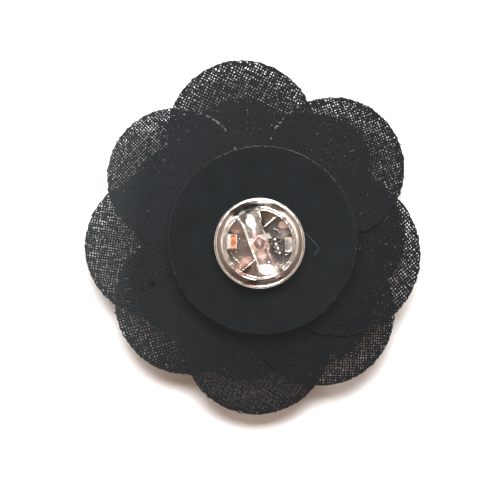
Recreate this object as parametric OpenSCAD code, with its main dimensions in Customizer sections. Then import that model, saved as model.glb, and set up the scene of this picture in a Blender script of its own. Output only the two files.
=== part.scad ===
// Flower lapel pin, lying on its front. Millimetres, +Z is the back of the flower, where the clutch is.
// The origin is where the post leaves the felt, so the felt's back lies in the plane z = 0.

/* [Petals] */
// Reach of the largest back petal from the flower's centre
back_reach = 23.2; // [20:0.2:27]
// Reach of the middle petals from the flower's centre
middle_reach = 18.6; // [15:0.2:20]
// Reach of the front petals from the flower's centre
front_reach = 13; // [11:0.2:15]
// Thickness of a petal's cloth
cloth_t = 1.0; // [0.8:0.05:1.5]
// Clearance between petals that lie on each other
layer_gap = 0.25; // [0.2:0.05:0.4]
// How far the largest back petal droops towards the front at its tip
back_droop = 6.6; // [4:0.2:9]
// Droop of the middle petals, as a multiple of the back row's at the same radius
middle_cup = 1.35; // [1.1:0.05:1.8]
// Droop of the front petals, as a multiple of the back row's at the same radius
front_cup = 2.9; // [2:0.1:3.6]
// Width of a petal where it meets the core
petal_base_w = 5; // [4:0.2:6]

/* [Core and bud] */
// Diameter of the glued core that holds the petals
core_d = 7; // [6:0.2:8]
// Outer diameter of the rolled bud
bud_d = 10; // [8:0.2:11]
// Height of the rolled bud at its middle
bud_h = 3.6; // [2.5:0.1:5]
// Clear space between the turns of the rolled bud
bud_turn_gap = 0.35; // [0.25:0.05:0.6]

/* [Felt] */
// Diameter of the felt backing
felt_d = 24; // [20:0.5:28]
// Thickness of the felt
felt_t = 1.2; // [1:0.1:2]
// Where the flower's centre lies from the post, along X
flower_x = 0.35; // [-1:0.05:1]
// Where the flower's centre lies from the post, along Y
flower_y = 0.4; // [-1:0.05:1]
// Clearance where a piece is seated on what carries it
seat_gap = 0.3; // [0.2:0.05:0.5]

/* [Post] */
// Diameter of the post
post_d = 1.1; // [1:0.05:1.3]
// Diameter of the neck that the clutch's jaws grip
neck_d = 0.76; // [0.6:0.02:0.8]
// How far the post stands out of the felt
post_l = 7.4; // [6.5:0.1:9]
// Length of the post's point
point_l = 0.9; // [0.5:0.1:1.5]
// Diameter of the collar that the post is welded into
collar_d = 2.2; // [1.8:0.1:3]
// Thickness of the pad under the felt
pad_t = 0.5; // [0.4:0.05:1]

/* [Clutch] */
// Room for the lapel between the felt and the clutch
lapel_room = 1.8; // [1.5:0.1:3]
// Outer diameter of the clutch, over its rolled rim
clutch_d = 11.5; // [10.5:0.1:13]
// Height of the clutch, with its wings
clutch_h = 6; // [5.5:0.1:7]
// Height of the pan up to the middle of its rolled rim
pan_h = 1.5; // [1.3:0.05:1.8]
// Thickness of the clutch's sheet metal
sheet_t = 0.3; // [0.25:0.05:0.4]
// Diameter of the pan's rolled rim
rim_d = 0.5; // [0.4:0.02:0.6]
// Width of the sloping ring between the rolled rim and the plate
ring_w = 0.65; // [0.5:0.05:0.9]
// Clearance of the jaws round the post
jaw_gap = 0.1; // [0.08:0.01:0.2]
// Clearance between the wings and the plate under them
wing_gap = 0.25; // [0.2:0.05:0.4]
// Angle of the slot between the wings, counter-clockwise from Y
slot_angle = 20; // [0:5:45]
// Distance of the left wing's inner wall from the post's axis
left_wall_x = 1.0; // [0.9:0.05:1.4]
// Distance of the right wing's inner wall from the post's axis
right_wall_x = 0.8; // [0.75:0.05:1.2]
// How far the inner walls stand above the plate
inner_wall_h = 2.4; // [1.8:0.1:3]
// Height of the wings' hinge line above the plate
hinge_h = 1.1; // [0.8:0.05:1.3]
// Distance of the wings' hinge lines from the post's axis
hinge_x = 1.4; // [1.2:0.1:2]
// Width of the wings' rolled edge
bead_d = 0.5; // [0.4:0.02:0.6]
// Diameter of the spring's wire
wire_d = 0.36; // [0.3:0.02:0.45]
// Outer diameter of the spring's coil
coil_d = 1.3; // [1.1:0.1:1.6]

/* [Hidden] */
$fn = 64;
BACK = 0;
MIDDLE = 1;
FRONT = 2;

// The back petals: azimuth of the middle, distance of the round part's centre and its radius, both as
// shares of back_reach, and how the petal lies: 0 over the one before it and under the one after it,
// -1 under both, 1 over both
AZIMUTH = 0;
CENTRE = 1;
RADIUS = 2;
FOLD = 3;
BACK_PETALS = [
    [101, 0.600, 0.407, -1],
    [144, 0.594, 0.380, 0],
    [184, 0.598, 0.391, 0],
    [220, 0.539, 0.405, 0],
    [267, 0.572, 0.406, 0],
    [309, 0.529, 0.401, 0],
    [349, 0.445, 0.443, 0],
    [405, 0.564, 0.390, 1]
];
back_count = len(BACK_PETALS);
middle_count = 7;
front_count = 5;
middle_first = 104;
front_first = 80;
// The inner rows' petals are alike: the round part's centre and radius as shares of the row's reach
MIDDLE_PETAL = [0.605, 0.395];
FRONT_PETAL = [0.555, 0.445];

// Colours
cloth_colour = [0.09, 0.09, 0.10];
felt_colour = [0.13, 0.14, 0.15];
glue_colour = [0.20, 0.20, 0.20];
nickel_colour = [0.86, 0.83, 0.80];
steel_colour = [0.75, 0.75, 0.76];

// Rows of petals
REACH = [back_reach, middle_reach, front_reach];
CUP = [1, middle_cup, front_cup];
droop_power = 2.2;
side_max = 108;
fold_round = 0.2;
rest_flat = 0.12;
core_r = core_d / 2;
base_x = core_r + seat_gap;
base_half = petal_base_w / 2;
full_turn = 360;
middle_spacing = full_turn / middle_count;
front_spacing = full_turn / front_count;

function back_azimuth(i) =
    BACK_PETALS[(i + back_count) % back_count][AZIMUTH] + full_turn * floor(i / back_count);

// Each back petal counts one turn of the row, wherever it lies, so the count rises evenly from one
// petal's azimuth to the next one's
BACK_TURNS = [for (i = [-2:back_count + 1]) [back_azimuth(i), i]];
back_spacing = min([for (i = [1:back_count]) back_azimuth(i) - back_azimuth(i - 1)]);
SPACING = [back_spacing, middle_spacing, front_spacing];

function turns(row, angle) =
    row == BACK ? lookup(angle, BACK_TURNS)
    : row == MIDDLE ? (angle - middle_first) / middle_spacing
    : (angle - front_first) / front_spacing;

// Height of a petal over its row's middle surface, counted in layers. Going round the row each petal
// sinks by one layer from its own azimuth to the next one's, so that neighbours keep one layer apart
function lift(row, turn, fold, angle) =
    let (away = turns(row, angle) - turn)
    fold == 0 ? -away : fold * sqrt(away * away + fold_round * fold_round);

function droop(row, r) = CUP[row] * back_droop * pow(r / back_reach, droop_power);

// How much thicker a sloping wall is when it is measured upright
function upright(row, r) =
    let (
        fall = droop_power * droop(row, r) / r,
        twist = (cloth_t + layer_gap) / (SPACING[row] * PI / 180 * r)
    )
    sqrt(1 + fall * fall + twist * twist);

function layer(row, r) = cloth_t * upright(row, r) + layer_gap;

// Outline of a petal whose middle lies along X: an arc, and straight sides down to the core
arc_steps = 16;
function mix(a, b, share) = a + (b - a) * share;
function petal_outline(centre, radius) =
    let (
        to_corner = norm([centre - base_x, base_half]),
        corner_angle = 180 - atan2(base_half, centre - base_x),
        tangent = radius < to_corner ? corner_angle - acos(radius / to_corner) : side_max,
        side = min(tangent, side_max),
        arc = [for (i = [0:arc_steps])
            let (a = side * (2 * i / arc_steps - 1))
            [centre + radius * cos(a), radius * sin(a)]],
        left_end = arc[arc_steps],
        right_end = arc[0],
        left_corner = [base_x, base_half],
        right_corner = [base_x, -base_half]
    )
    concat(
        arc,
        [mix(left_end, left_corner, 1 / 3), mix(left_end, left_corner, 2 / 3), left_corner],
        [[base_x, 0]],
        [right_corner, mix(right_corner, right_end, 1 / 3), mix(right_corner, right_end, 2 / 3)]
    );

function back_outline(i) =
    petal_outline(BACK_PETALS[i][CENTRE] * back_reach, BACK_PETALS[i][RADIUS] * back_reach);
middle_outline = petal_outline(MIDDLE_PETAL[0] * middle_reach, MIDDLE_PETAL[1] * middle_reach);
front_outline = petal_outline(FRONT_PETAL[0] * front_reach, FRONT_PETAL[1] * front_reach);

// The most that any point of a row lies above or below the row's middle surface, in layers
function widest_lift(row, turn, fold, azimuth, outline) =
    max([for (p = outline) abs(lift(row, turn, fold, azimuth + atan2(p.y, p.x)))]);
SPREAD = [
    max([for (i = [0:back_count - 1])
        widest_lift(BACK, i, BACK_PETALS[i][FOLD], BACK_PETALS[i][AZIMUTH], back_outline(i))]),
    widest_lift(MIDDLE, 0, 0, middle_first, middle_outline),
    widest_lift(FRONT, 0, 0, front_first, front_outline)
];

// Height that a row takes up on each side of its middle surface, next to the core
function half_height(row) =
    SPREAD[row] * layer(row, base_x) + cloth_t * upright(row, base_x) / 2;
back_z = -felt_t - seat_gap - half_height(BACK);
middle_z = back_z - half_height(BACK) - layer_gap - half_height(MIDDLE);
front_z = middle_z - half_height(MIDDLE) - layer_gap - half_height(FRONT);
ROW_Z = [back_z, middle_z, front_z];

function tip_z(row) =
    ROW_Z[row] - droop(row, REACH[row]) - cloth_t * upright(row, REACH[row]) / 2;
floor_z = min(tip_z(FRONT) + rest_flat, tip_z(MIDDLE), tip_z(BACK));

// Rings of points from the outline in to the round part's middle
RING_SHARES = [1, 0.72, 0.38];
rings = len(RING_SHARES);

// One petal: a wall of cloth that follows its row's surface
module petal(row, azimuth, turn, fold, centre, radius) {
    outline = petal_outline(centre, radius);
    n = len(outline);
    hub = [centre, 0];
    plan = concat([for (share = RING_SHARES) each [for (p = outline) mix(hub, p, share)]], [hub]);
    heights = [for (p = plan)
        let (
            r = norm(p),
            half = cloth_t * upright(row, r) / 2,
            up = lift(row, turn, fold, azimuth + atan2(p.y, p.x)) * layer(row, r),
            z = max(ROW_Z[row] - droop(row, r) + up, floor_z + half)
        )
        [z + half, z - half]];
    count = len(plan);
    points = concat(
        [for (i = [0:count - 1]) [plan[i].x, plan[i].y, heights[i][0]]],
        [for (i = [0:count - 1]) [plan[i].x, plan[i].y, heights[i][1]]]
    );
    top_faces = concat(
        [for (k = [0:rings - 2], j = [0:n - 1])
            let (o = k * n, i = (k + 1) * n, next = (j + 1) % n)
            each [[o + j, i + j, i + next], [o + j, i + next, o + next]]],
        [for (j = [0:n - 1])
            let (i = (rings - 1) * n)
            [i + j, count - 1, i + (j + 1) % n]]
    );
    bottom_faces = [for (f = top_faces) [f[2] + count, f[1] + count, f[0] + count]];
    rim_faces = [for (j = [0:n - 1])
        let (next = (j + 1) % n)
        each [[j, next, count + next], [j, count + next, count + j]]];
    color(cloth_colour)
    translate([flower_x, flower_y, 0])
    rotate(azimuth)
    polyhedron(points, concat(top_faces, bottom_faces, rim_faces));
}

module back_petal(i) {
    p = BACK_PETALS[i];
    petal(BACK, p[AZIMUTH], i, p[FOLD], p[CENTRE] * back_reach, p[RADIUS] * back_reach);
}

module middle_petal(i) {
    petal(MIDDLE, middle_first + i * middle_spacing, i, 0,
        MIDDLE_PETAL[0] * middle_reach, MIDDLE_PETAL[1] * middle_reach);
}

module front_petal(i) {
    petal(FRONT, front_first + i * front_spacing, i, 0,
        FRONT_PETAL[0] * front_reach, FRONT_PETAL[1] * front_reach);
}

// The rolled bud: a strip of cloth wound into a spiral that opens towards the front
bud_r = bud_d / 2;
bud_pitch = cloth_t + bud_turn_gap;
bud_inner_r = cloth_t / 2 + bud_turn_gap;
bud_flare = 1.1;
bud_round = 0.35;
bud_step = 20;
bud_sweep = full_turn * (bud_r - cloth_t / 2 - bud_inner_r) / bud_pitch;
bud_steps = ceil(bud_sweep / bud_step);
bud_top = front_z - droop(FRONT, bud_r) - SPREAD[FRONT] * layer(FRONT, bud_r)
    - cloth_t * upright(FRONT, bud_r) / 2 - seat_gap;
core_bottom = bud_top + seat_gap;

module rolled_bud() {
    sections = [for (i = [0:bud_steps])
        let (
            a = bud_sweep * i / bud_steps,
            r = bud_inner_r + bud_pitch * a / full_turn,
            low = bud_top - bud_h * (1 - bud_round * pow(r / bud_r, 2)),
            inner = r - cloth_t / 2,
            outer = r + cloth_t / 2
        )
        each [
            [inner * cos(a), inner * sin(a), bud_top],
            [outer * cos(a), outer * sin(a), bud_top],
            [outer * bud_flare * cos(a), outer * bud_flare * sin(a), low],
            [inner * bud_flare * cos(a), inner * bud_flare * sin(a), low]
        ]];
    corners = 4;
    last = bud_steps * corners;
    sides = [for (i = [0:bud_steps - 1], k = [0:corners - 1])
        let (a = i * corners + k, b = i * corners + (k + 1) % corners)
        each [[a, b, b + corners], [a, b + corners, a + corners]]];
    ends = [[0, 3, 2], [0, 2, 1], [last, last + 1, last + 2], [last, last + 2, last + 3]];
    color(cloth_colour)
    translate([flower_x, flower_y, 0])
    polyhedron([for (s = sections) s], concat(sides, ends));
}

// Clearance between pieces that are glued or seated on each other
fixed_gap = 0.1;

// The glued middle that the petals are held by, and the pin's pad above it
pad_top = -felt_t - fixed_gap;
pad_bottom = pad_top - pad_t;
core_top = pad_bottom - fixed_gap;

module petal_core() {
    color(glue_colour)
    translate([flower_x, flower_y, core_bottom])
    cylinder(r = core_r, h = core_top - core_bottom);
}

// The felt backing, with a hole for the post's collar
collar_gap = 0.1;
felt_edge = 0.15;
module felt_disc() {
    felt_r = felt_d / 2;
    color(felt_colour)
    difference() {
        translate([flower_x, flower_y, 0])
        rotate_extrude()
        polygon([
            [0, -felt_t],
            [felt_r, -felt_t],
            [felt_r, -felt_edge],
            [felt_r - felt_edge, 0],
            [0, 0]
        ]);
        translate([0, 0, -felt_t - 1])
        cylinder(r = collar_d / 2 + collar_gap, h = felt_t + 2);
    }
}

// The post: pad, collar, a bare stretch for the lapel, a neck for the jaws, and a point
post_r = post_d / 2;
neck_r = neck_d / 2;
neck_slope = post_r - neck_r;
point_r = 0.12;
hole_gap = 0.15;

// Heights inside the clutch, over the pan's underside, and clearances in it
plate_top = pan_h - rim_d / 4;
wing_foot = plate_top + wing_gap;
jaw_t = sheet_t * 1.5;
neck_end = lapel_room + wing_foot + jaw_t + neck_slope;

module pin_post() {
    color(steel_colour) {
        translate([flower_x, flower_y, pad_bottom])
        cylinder(r = core_r, h = pad_t);
        translate([0, 0, pad_bottom])
        cylinder(r = collar_d / 2, h = -pad_bottom);
        rotate_extrude()
        polygon([
            [0, pad_bottom],
            [post_r, pad_bottom],
            [post_r, lapel_room],
            [neck_r, lapel_room + neck_slope],
            [neck_r, neck_end],
            [post_r, neck_end + neck_slope],
            [post_r, post_l - point_l],
            [point_r, post_l],
            [0, post_l]
        ]);
    }
}

// The clutch, in its own frame: Z = 0 is the pan's underside and Y runs along the slot
module in_clutch_frame() {
    translate([0, 0, lapel_room])
    rotate(slot_angle)
    children();
}

clutch_r = clutch_d / 2;
rim_r = clutch_r - rim_d / 2;
plate_r = clutch_r - rim_d - ring_w;
pan_flare = 0.55;
pan_foot_r = rim_r - pan_flare;
valley = 0.2;
wing_inset = 0.05;
wing_r = plate_r - wing_inset;
bead_r = bead_d / 2;
edge_r = 0.09;
wing_top = clutch_h - edge_r;
LEFT = -1;
RIGHT = 1;

// Inner walls of the wings: place along the slot and extra distance from it, as shares of wing_r
LEFT_EDGE = [[-1.05, 0.32], [-0.9, 0.17], [-0.64, 0], [0.64, 0], [0.9, 0.17], [1.05, 0.32]];
RIGHT_EDGE = [[-1.05, 0.16], [-0.87, 0.06], [-0.63, -0.055], [-0.27, -0.06], [-0.16, 0], [0.2, 0],
    [0.8, 0.06], [0.95, 0.12], [1.05, 0.2]];

// Plan of a wing, shrunk by the inset on all sides
module wing_plan(side, inset) {
    edge = side == LEFT ? LEFT_EDGE : RIGHT_EDGE;
    wall_x = side == LEFT ? left_wall_x : right_wall_x;
    far = 2 * wing_r;
    intersection() {
        circle(r = wing_r - inset);
        polygon(concat(
            [for (e = edge) [side * (wall_x + inset + e[1] * wing_r), e[0] * wing_r]],
            [[side * far, wing_r * 1.05], [side * far, -wing_r * 1.05]]
        ));
    }
}

module clutch_pan() {
    hole_r = post_r + hole_gap;
    wall = sheet_t;
    color(nickel_colour)
    in_clutch_frame()
    difference() {
        rotate_extrude() {
            // floor, flared wall, sloping ring and plate
            polygon([
                [0, 0],
                [pan_foot_r, 0],
                [rim_r + wall / 3, pan_h],
                [rim_r - wall / 2, pan_h + wall / 2],
                [plate_r + valley, plate_top - valley],
                [plate_r, plate_top],
                [0, plate_top],
                [0, plate_top - wall],
                [plate_r, plate_top - wall],
                [plate_r + valley, plate_top - valley - wall],
                [rim_r - wall * 1.3, pan_h - wall * 1.5],
                [pan_foot_r - wall, wall],
                [0, wall]
            ]);
            translate([rim_r, pan_h + wall / 4])
            circle(r = rim_d / 2, $fn = 32);
        }
        translate([0, 0, -1])
        cylinder(r = hole_r, h = clutch_h);
        for (side = [LEFT, RIGHT])
            translate([0, 0, plate_top - 2 * wall + 0.05])
            linear_extrude(2 * wall)
            wing_plan(side, sheet_t);
    }
}

// What a wing carries inside: a shelf that slopes across one end, and a lug on the outer wall
shelf_x = 0.36;
shelf_y = 1.5;
shelf_h = 2.6;
shelf_tilt = 22;
lug_x = 3.45;
left_lug_shift = 0.35;
lug_y = -1.4;
lug_h = 1.9;
lug_w = 1.1;
lug_l = 1.9;
lug_wall = 0.16;
module wing_details(side) {
    intersection() {
        translate([0, 0, wing_foot])
        linear_extrude(wing_top - wing_foot)
        wing_plan(side, sheet_t / 2);
        rotate(side > 0 ? 0 : 180) {
            translate([shelf_x, shelf_y, plate_top + shelf_h])
            rotate([-shelf_tilt, 0, slot_angle])
            translate([-wing_r, 0, -sheet_t]) {
                cube([2 * wing_r, wing_r, sheet_t]);
                translate([0, 0, sheet_t / 2])
                rotate([0, 90, 0])
                cylinder(h = 2 * wing_r, r = sheet_t / 2);
            }
            translate([lug_x - (side < 0 ? left_lug_shift : 0), lug_y, plate_top + lug_h])
            rotate(-slot_angle)
            difference() {
                translate([-lug_w / 2, -lug_l / 2, 0])
                cube([wing_r, lug_l, lug_w]);
                translate([lug_wall - lug_w / 2, lug_wall - lug_l / 2, lug_wall])
                cube([lug_w - 2 * lug_wall, lug_l - 2 * lug_wall, lug_w]);
            }
        }
    }
}

// A wing: a D-shaped wall with a rolled edge, cut down towards the slot, and a jaw at its foot
jaw_w = 1.8;
notch_gap = 0.4;
slope_run = 0.5;
bead_end = 2;
module wing(side) {
    wall_x = side == LEFT ? left_wall_x : right_wall_x;
    jaw_top = wing_foot + jaw_t;
    low_x = wall_x + sheet_t;
    bead_x = wing_r - sheet_t / 2;
    bead_half_angle = acos((low_x + slope_run) / bead_x) - bead_end;
    color(nickel_colour)
    in_clutch_frame() {
        difference() {
            union() {
                translate([0, 0, wing_foot])
                linear_extrude(wing_top - wing_foot)
                difference() {
                    wing_plan(side, 0);
                    wing_plan(side, sheet_t);
                }
                translate([side > 0 ? 0 : -low_x, -jaw_w / 2, wing_foot])
                cube([low_x, jaw_w, jaw_t]);
            }
            // the top edge slopes down from the rolled edge to the inner wall
            rotate([90, 0, 0])
            linear_extrude(3 * wing_r, center = true)
            polygon([
                [side * -wing_r, plate_top + inner_wall_h],
                [side * low_x, plate_top + inner_wall_h],
                [side * (low_x + slope_run), wing_top],
                [side * (low_x + slope_run), clutch_h + 1],
                [side * -wing_r, clutch_h + 1]
            ]);
            translate([0, 0, -1])
            cylinder(r = post_r + jaw_gap, h = clutch_h + 2);
            translate([0, 0, jaw_top])
            cylinder(r = post_r + notch_gap, h = clutch_h);
            // the jaws stop short of the slot's middle, so that they clear each other
            translate([-jaw_gap, -jaw_w, -1])
            cube([2 * jaw_gap, 2 * jaw_w, clutch_h + 2]);
        }
        translate([0, 0, wing_top])
        rotate(side > 0 ? -bead_half_angle : 180 - bead_half_angle)
        rotate_extrude(angle = 2 * bead_half_angle) {
            for (x = [edge_r - bead_r, bead_r - edge_r])
                translate([bead_x + x, 0])
                circle(r = edge_r, $fn = 24);
            translate([bead_x + edge_r - bead_r, -edge_r])
            square([2 * (bead_r - edge_r), edge_r]);
        }
        wing_details(side);
    }
}

module wing_left() {
    wing(LEFT);
}

module wing_right() {
    wing(RIGHT);
}

// The spring: a coil whose axis runs along the slot, with both ends down on the pan's floor
spring_turns = 3.5;
spring_sides = 6;
spring_steps = 12;
spring_pitch = wire_d * 1.7;
spring_gap = 0.2;
module clutch_spring() {
    wire_r = wire_d / 2;
    coil_r = coil_d / 2 - wire_r;
    coil_x = right_wall_x + sheet_t + spring_gap + wire_r + coil_r;
    coil_y = -spring_turns * spring_pitch;
    coil_z = plate_top + coil_d;
    foot_z = sheet_t + fixed_gap;
    count = spring_turns * spring_steps;
    turn_angles = [for (i = [0:count]) full_turn * i / spring_steps];
    last_angle = turn_angles[count];
    // each row: angle of the cross-section and how far it is dropped below the coil
    rows = concat(
        [[0, coil_z - foot_z]],
        [for (a = turn_angles) [a, 0]],
        [[last_angle, coil_z - foot_z]]
    );
    points = [for (row = rows, k = [0:spring_sides - 1])
        let (
            a = row[0],
            around = full_turn * k / spring_sides,
            r = coil_r + wire_r * cos(around)
        )
        [
            coil_x + r * cos(a),
            coil_y + spring_pitch * a / full_turn + wire_r * sin(around),
            coil_z + r * sin(a) - row[1]
        ]];
    last = (len(rows) - 1) * spring_sides;
    sides = [for (i = [0:len(rows) - 2], k = [0:spring_sides - 1])
        let (a = i * spring_sides + k, b = i * spring_sides + (k + 1) % spring_sides)
        each [[a, b, b + spring_sides], [a, b + spring_sides, a + spring_sides]]];
    start_cap = [for (k = [spring_sides - 1:-1:0]) k];
    end_cap = [for (k = [0:spring_sides - 1]) last + k];
    color(nickel_colour)
    in_clutch_frame()
    polyhedron(points, concat(sides, [start_cap, end_cap]));
}

for (i = [1:back_count])
    back_petal(i - 1);
for (i = [1:middle_count])
    middle_petal(i - 1);
for (i = [1:front_count])
    front_petal(i - 1);
rolled_bud();
petal_core();
felt_disc();
pin_post();
clutch_pan();
clutch_spring();
wing_left();
wing_right();
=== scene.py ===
import math

import bpy
import numpy as np
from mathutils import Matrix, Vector


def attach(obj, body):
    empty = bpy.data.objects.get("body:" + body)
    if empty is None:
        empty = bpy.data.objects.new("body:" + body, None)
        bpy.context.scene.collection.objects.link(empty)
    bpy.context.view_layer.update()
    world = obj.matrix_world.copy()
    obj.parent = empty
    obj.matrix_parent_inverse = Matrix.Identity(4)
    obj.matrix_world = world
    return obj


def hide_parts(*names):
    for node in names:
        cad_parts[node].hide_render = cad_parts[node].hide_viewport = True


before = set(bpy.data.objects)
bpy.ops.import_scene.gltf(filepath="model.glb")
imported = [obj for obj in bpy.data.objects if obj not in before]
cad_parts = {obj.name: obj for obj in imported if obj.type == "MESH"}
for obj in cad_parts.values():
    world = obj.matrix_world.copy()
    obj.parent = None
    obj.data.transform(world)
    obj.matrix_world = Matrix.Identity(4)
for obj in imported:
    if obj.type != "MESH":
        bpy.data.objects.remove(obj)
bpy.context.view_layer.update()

MM = 0.001
SEED = 7
rng = np.random.default_rng(SEED)

# sizes in mm and angles in degrees, as in the CAD source

BACK, MIDDLE, FRONT = 0, 1, 2
BACK_REACH, MIDDLE_REACH, FRONT_REACH = 23.2, 18.6, 13.0
REACH = (BACK_REACH, MIDDLE_REACH, FRONT_REACH)
CLOTH_T, LAYER_GAP, SEAT_GAP = 1.0, 0.25, 0.3
BACK_DROOP, DROOP_POWER = 6.6, 2.2
# how many times as deep as the back row each row droops at the same radius
CUP = (1.0, 1.35, 2.9)
# a petal's foot on the core: its distance, half its width, and the widest angle of the petal's round end
BASE_X, BASE_HALF = 3.8, 2.5
SIDE_MAX = 108.0
FOLD_ROUND, REST_FLAT = 0.2, 0.12
BUD_D, BUD_H, BUD_TURN_GAP = 10.0, 3.6, 0.35
FELT_D, FELT_T = 24.0, 1.2
# the flower's middle lies this far from the post's axis
FLOWER_X, FLOWER_Y = 0.35, 0.4

# azimuth, centre and radius as shares of the reach, fold, and the angle of the cloth's grain
BACK_PETALS = (
    (101, 0.600, 0.407, -1, 64),
    (144, 0.594, 0.380, 0, 46),
    (184, 0.598, 0.391, 0, 82),
    (220, 0.539, 0.405, 0, 17),
    (267, 0.572, 0.406, 0, 59),
    (309, 0.529, 0.401, 0, 89),
    (349, 0.445, 0.443, 0, 38),
    (405, 0.564, 0.390, 1, 21),
)
BACK_COUNT, MIDDLE_COUNT, FRONT_COUNT = len(BACK_PETALS), 7, 5
MIDDLE_FIRST, FRONT_FIRST = 104, 80
# centre and radius of the petals of the other rows
MIDDLE_PETAL = (0.605 * MIDDLE_REACH, 0.395 * MIDDLE_REACH)
FRONT_PETAL = (0.555 * FRONT_REACH, 0.445 * FRONT_REACH)
# pieces of a petal's round end, in the CAD source and for the cut of the woven cloth
CAD_STEPS, CUT_STEPS = 16, 40


def back_azimuth(i):
    """Azimuth of a back petal, where the count goes on round the flower."""
    return BACK_PETALS[i % BACK_COUNT][0] + 360 * (i // BACK_COUNT)


BACK_TURNS = np.array([(back_azimuth(i), i) for i in range(-2, BACK_COUNT + 2)], float)
BACK_SPACING = min(back_azimuth(i) - back_azimuth(i - 1) for i in range(1, BACK_COUNT + 1))
SPACING = (BACK_SPACING, 360 / MIDDLE_COUNT, 360 / FRONT_COUNT)


def turns(row, angle):
    """How many petals lie between a row's first petal and an angle."""
    if row == BACK:
        return np.interp(angle, BACK_TURNS[:, 0], BACK_TURNS[:, 1])
    first = MIDDLE_FIRST if row == MIDDLE else FRONT_FIRST
    return (angle - first) / SPACING[row]


def lift(row, turn, fold, angle):
    """Height of a petal in layers: it fans from one side to the other, or folds up or down at its middle."""
    away = turns(row, angle) - turn
    return -away if fold == 0 else fold * np.sqrt(away**2 + FOLD_ROUND**2)


def droop(row, r):
    return CUP[row] * BACK_DROOP * (r / BACK_REACH) ** DROOP_POWER


def upright(row, r):
    """Upright height of the sloping cloth, as a share of its thickness."""
    fall = DROOP_POWER * droop(row, r) / r
    twist = (CLOTH_T + LAYER_GAP) / (math.radians(SPACING[row]) * r)
    return np.sqrt(1 + fall**2 + twist**2)


def layer(row, r):
    return CLOTH_T * upright(row, r) + LAYER_GAP


def outline(centre, radius, steps):
    """A petal's outline with its middle along X: an arc, and straight sides down to the core."""
    to_corner = math.hypot(centre - BASE_X, BASE_HALF)
    corner = 180 - math.degrees(math.atan2(BASE_HALF, centre - BASE_X))
    tangent = corner - math.degrees(math.acos(radius / to_corner)) if radius < to_corner else SIDE_MAX
    side = math.radians(min(tangent, SIDE_MAX))
    arc = [
        (centre + radius * math.cos(a), radius * math.sin(a))
        for a in np.linspace(-side, side, steps + 1)
    ]
    return np.array(arc + [(BASE_X, BASE_HALF), (BASE_X, 0), (BASE_X, -BASE_HALF)])


def spread(row, turn, fold, azimuth, centre, radius):
    """The greatest lift, up or down, of any corner of a petal."""
    shape = outline(centre, radius, CAD_STEPS)
    angles = azimuth + np.degrees(np.arctan2(shape[:, 1], shape[:, 0]))
    return np.abs(lift(row, turn, fold, angles)).max()


SPREAD = (
    max(
        spread(BACK, i, fold, azimuth, centre * BACK_REACH, radius * BACK_REACH)
        for i, (azimuth, centre, radius, fold, _) in enumerate(BACK_PETALS)
    ),
    spread(MIDDLE, 0, 0, MIDDLE_FIRST, *MIDDLE_PETAL),
    spread(FRONT, 0, 0, FRONT_FIRST, *FRONT_PETAL),
)


def half_height(row):
    return SPREAD[row] * layer(row, BASE_X) + CLOTH_T * upright(row, BASE_X) / 2


back_z = -FELT_T - SEAT_GAP - half_height(BACK)
middle_z = back_z - half_height(BACK) - LAYER_GAP - half_height(MIDDLE)
front_z = middle_z - half_height(MIDDLE) - LAYER_GAP - half_height(FRONT)
ROW_Z = (back_z, middle_z, front_z)


def tip_z(row):
    return ROW_Z[row] - droop(row, REACH[row]) - CLOTH_T * upright(row, REACH[row]) / 2


FLOOR_Z = min(tip_z(FRONT) + REST_FLAT, tip_z(MIDDLE), tip_z(BACK))

# mesh and node helpers


def new_mesh(name, points, faces, smooth=True):
    """An object from points in mm and faces of one size, or of mixed sizes as a list."""
    mesh = bpy.data.meshes.new(name)
    points = np.asarray(points, np.float32) * MM
    if isinstance(faces, np.ndarray):
        count, size = faces.shape
        mesh.vertices.add(len(points))
        mesh.vertices.foreach_set("co", points.ravel())
        mesh.loops.add(count * size)
        mesh.loops.foreach_set("vertex_index", faces.ravel().astype(np.int32))
        mesh.polygons.add(count)
        mesh.polygons.foreach_set("loop_start", np.arange(count, dtype=np.int32) * size)
        mesh.polygons.foreach_set("loop_total", np.full(count, size, np.int32))
        mesh.update(calc_edges=True)
    else:
        mesh.from_pydata([tuple(map(float, p)) for p in points], [], faces)
        mesh.update()
    mesh.polygons.foreach_set("use_smooth", np.full(len(mesh.polygons), smooth))
    obj = bpy.data.objects.new(name, mesh)
    bpy.context.scene.collection.objects.link(obj)
    return obj


def move_points(obj, place):
    """Gives a mesh's points new places, which place works out in mm from the old ones."""
    mesh = obj.data
    points = np.empty(len(mesh.vertices) * 3, np.float32)
    mesh.vertices.foreach_get("co", points)
    moved = place(points.reshape(-1, 3).astype(float) / MM) * MM
    mesh.vertices.foreach_set("co", moved.astype(np.float32).ravel())
    mesh.update()


# a mix node's inputs for the value under and the one over, and its output, by kind
MIX_SOCKETS = {"FLOAT": (2, 3, 0), "RGBA": (6, 7, 2)}


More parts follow.
